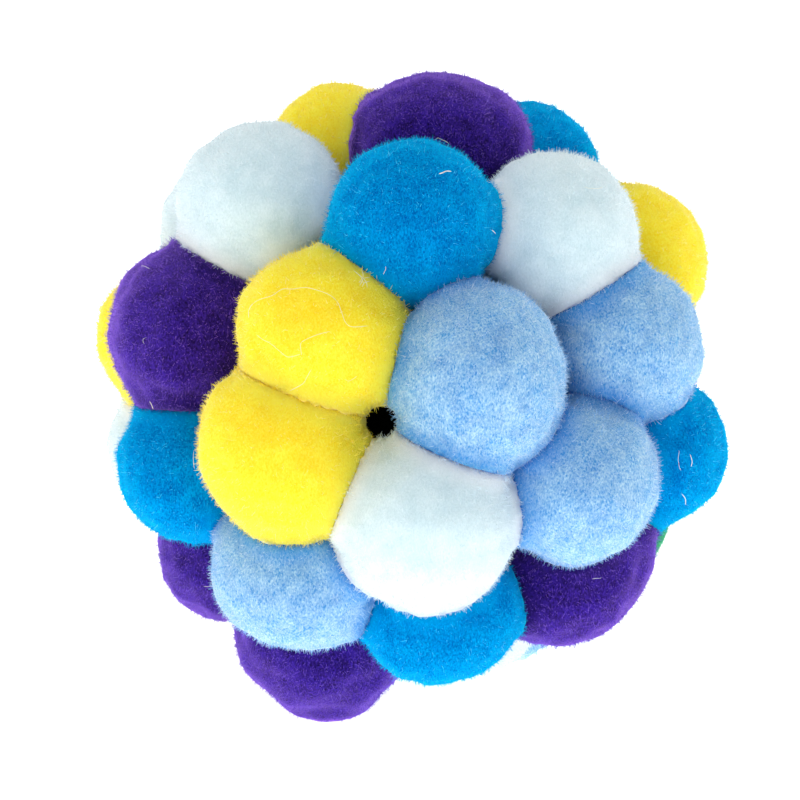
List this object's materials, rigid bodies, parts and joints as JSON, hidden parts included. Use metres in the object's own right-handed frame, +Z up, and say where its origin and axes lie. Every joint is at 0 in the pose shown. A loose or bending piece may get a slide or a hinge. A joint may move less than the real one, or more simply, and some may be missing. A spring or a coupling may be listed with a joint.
{
  "type": "felt pompom ball",
  "caption": "Soft decorative ball made of round felt-like pompoms, glued side by side all over a black core.",
  "frame": {"origin": "on the surface that the ball rests on, under the middle of the ball's outline", "axes": "+Z up, the side seen in the picture faces -Y and looks up by twenty degrees, +X to the viewer's right"},
  "size_m": [0.0962, 0.101, 0.0952],
  "materials": {
    "purple": "short dense felt-like nap, deep purple",
    "yellow": "short dense felt-like nap, lemon yellow",
    "blue": "short dense felt-like nap, bright blue",
    "pale": "short dense felt-like nap, white with a cool tint",
    "periwinkle": "short dense felt-like nap, light blue, mottled",
    "green": "short dense felt-like nap, mid green",
    "black": "matt black felt-like skin of the core"
  },
  "bodies": {
    "root": {"core": "black", "pompom_01_yellow": "yellow", "pompom_02_purple": "purple", "pompom_03_blue": "blue", "pompom_04_green": "green", "pompom_05_pale": "pale", "pompom_06_blue": "blue", "pompom_07_pale": "pale", "pompom_08_yellow": "yellow", "pompom_09_pale": "pale", "pompom_10_purple": "purple", "pompom_11_yellow": "yellow", "pompom_12_yellow": "yellow", "pompom_13_yellow": "yellow", "pompom_14_periwinkle": "periwinkle", "pompom_15_periwinkle": "periwinkle", "pompom_16_periwinkle": "periwinkle", "pompom_17_pale": "pale", "pompom_18_blue": "blue", "pompom_19_blue": "blue", "pompom_20_pale": "pale", "pompom_21_purple": "purple", "pompom_22_periwinkle": "periwinkle", "pompom_23_purple": "purple", "pompom_24_blue": "blue", "pompom_25_purple": "purple", "pompom_26_green": "green", "pompom_27_purple": "purple", "pompom_28_periwinkle": "periwinkle", "pompom_29_yellow": "yellow", "pompom_30_pale": "pale", "pompom_31_green": "green", "pompom_32_periwinkle": "periwinkle", "pompom_33_blue": "blue", "pompom_34_yellow": "yellow", "pompom_35_purple": "purple", "pompom_36_green": "green", "pompom_37_yellow": "yellow", "pompom_38_pale": "pale", "pompom_39_blue": "blue", "pompom_40_pale": "pale", "pompom_41_purple": "purple"}
  },
  "joints": []
}
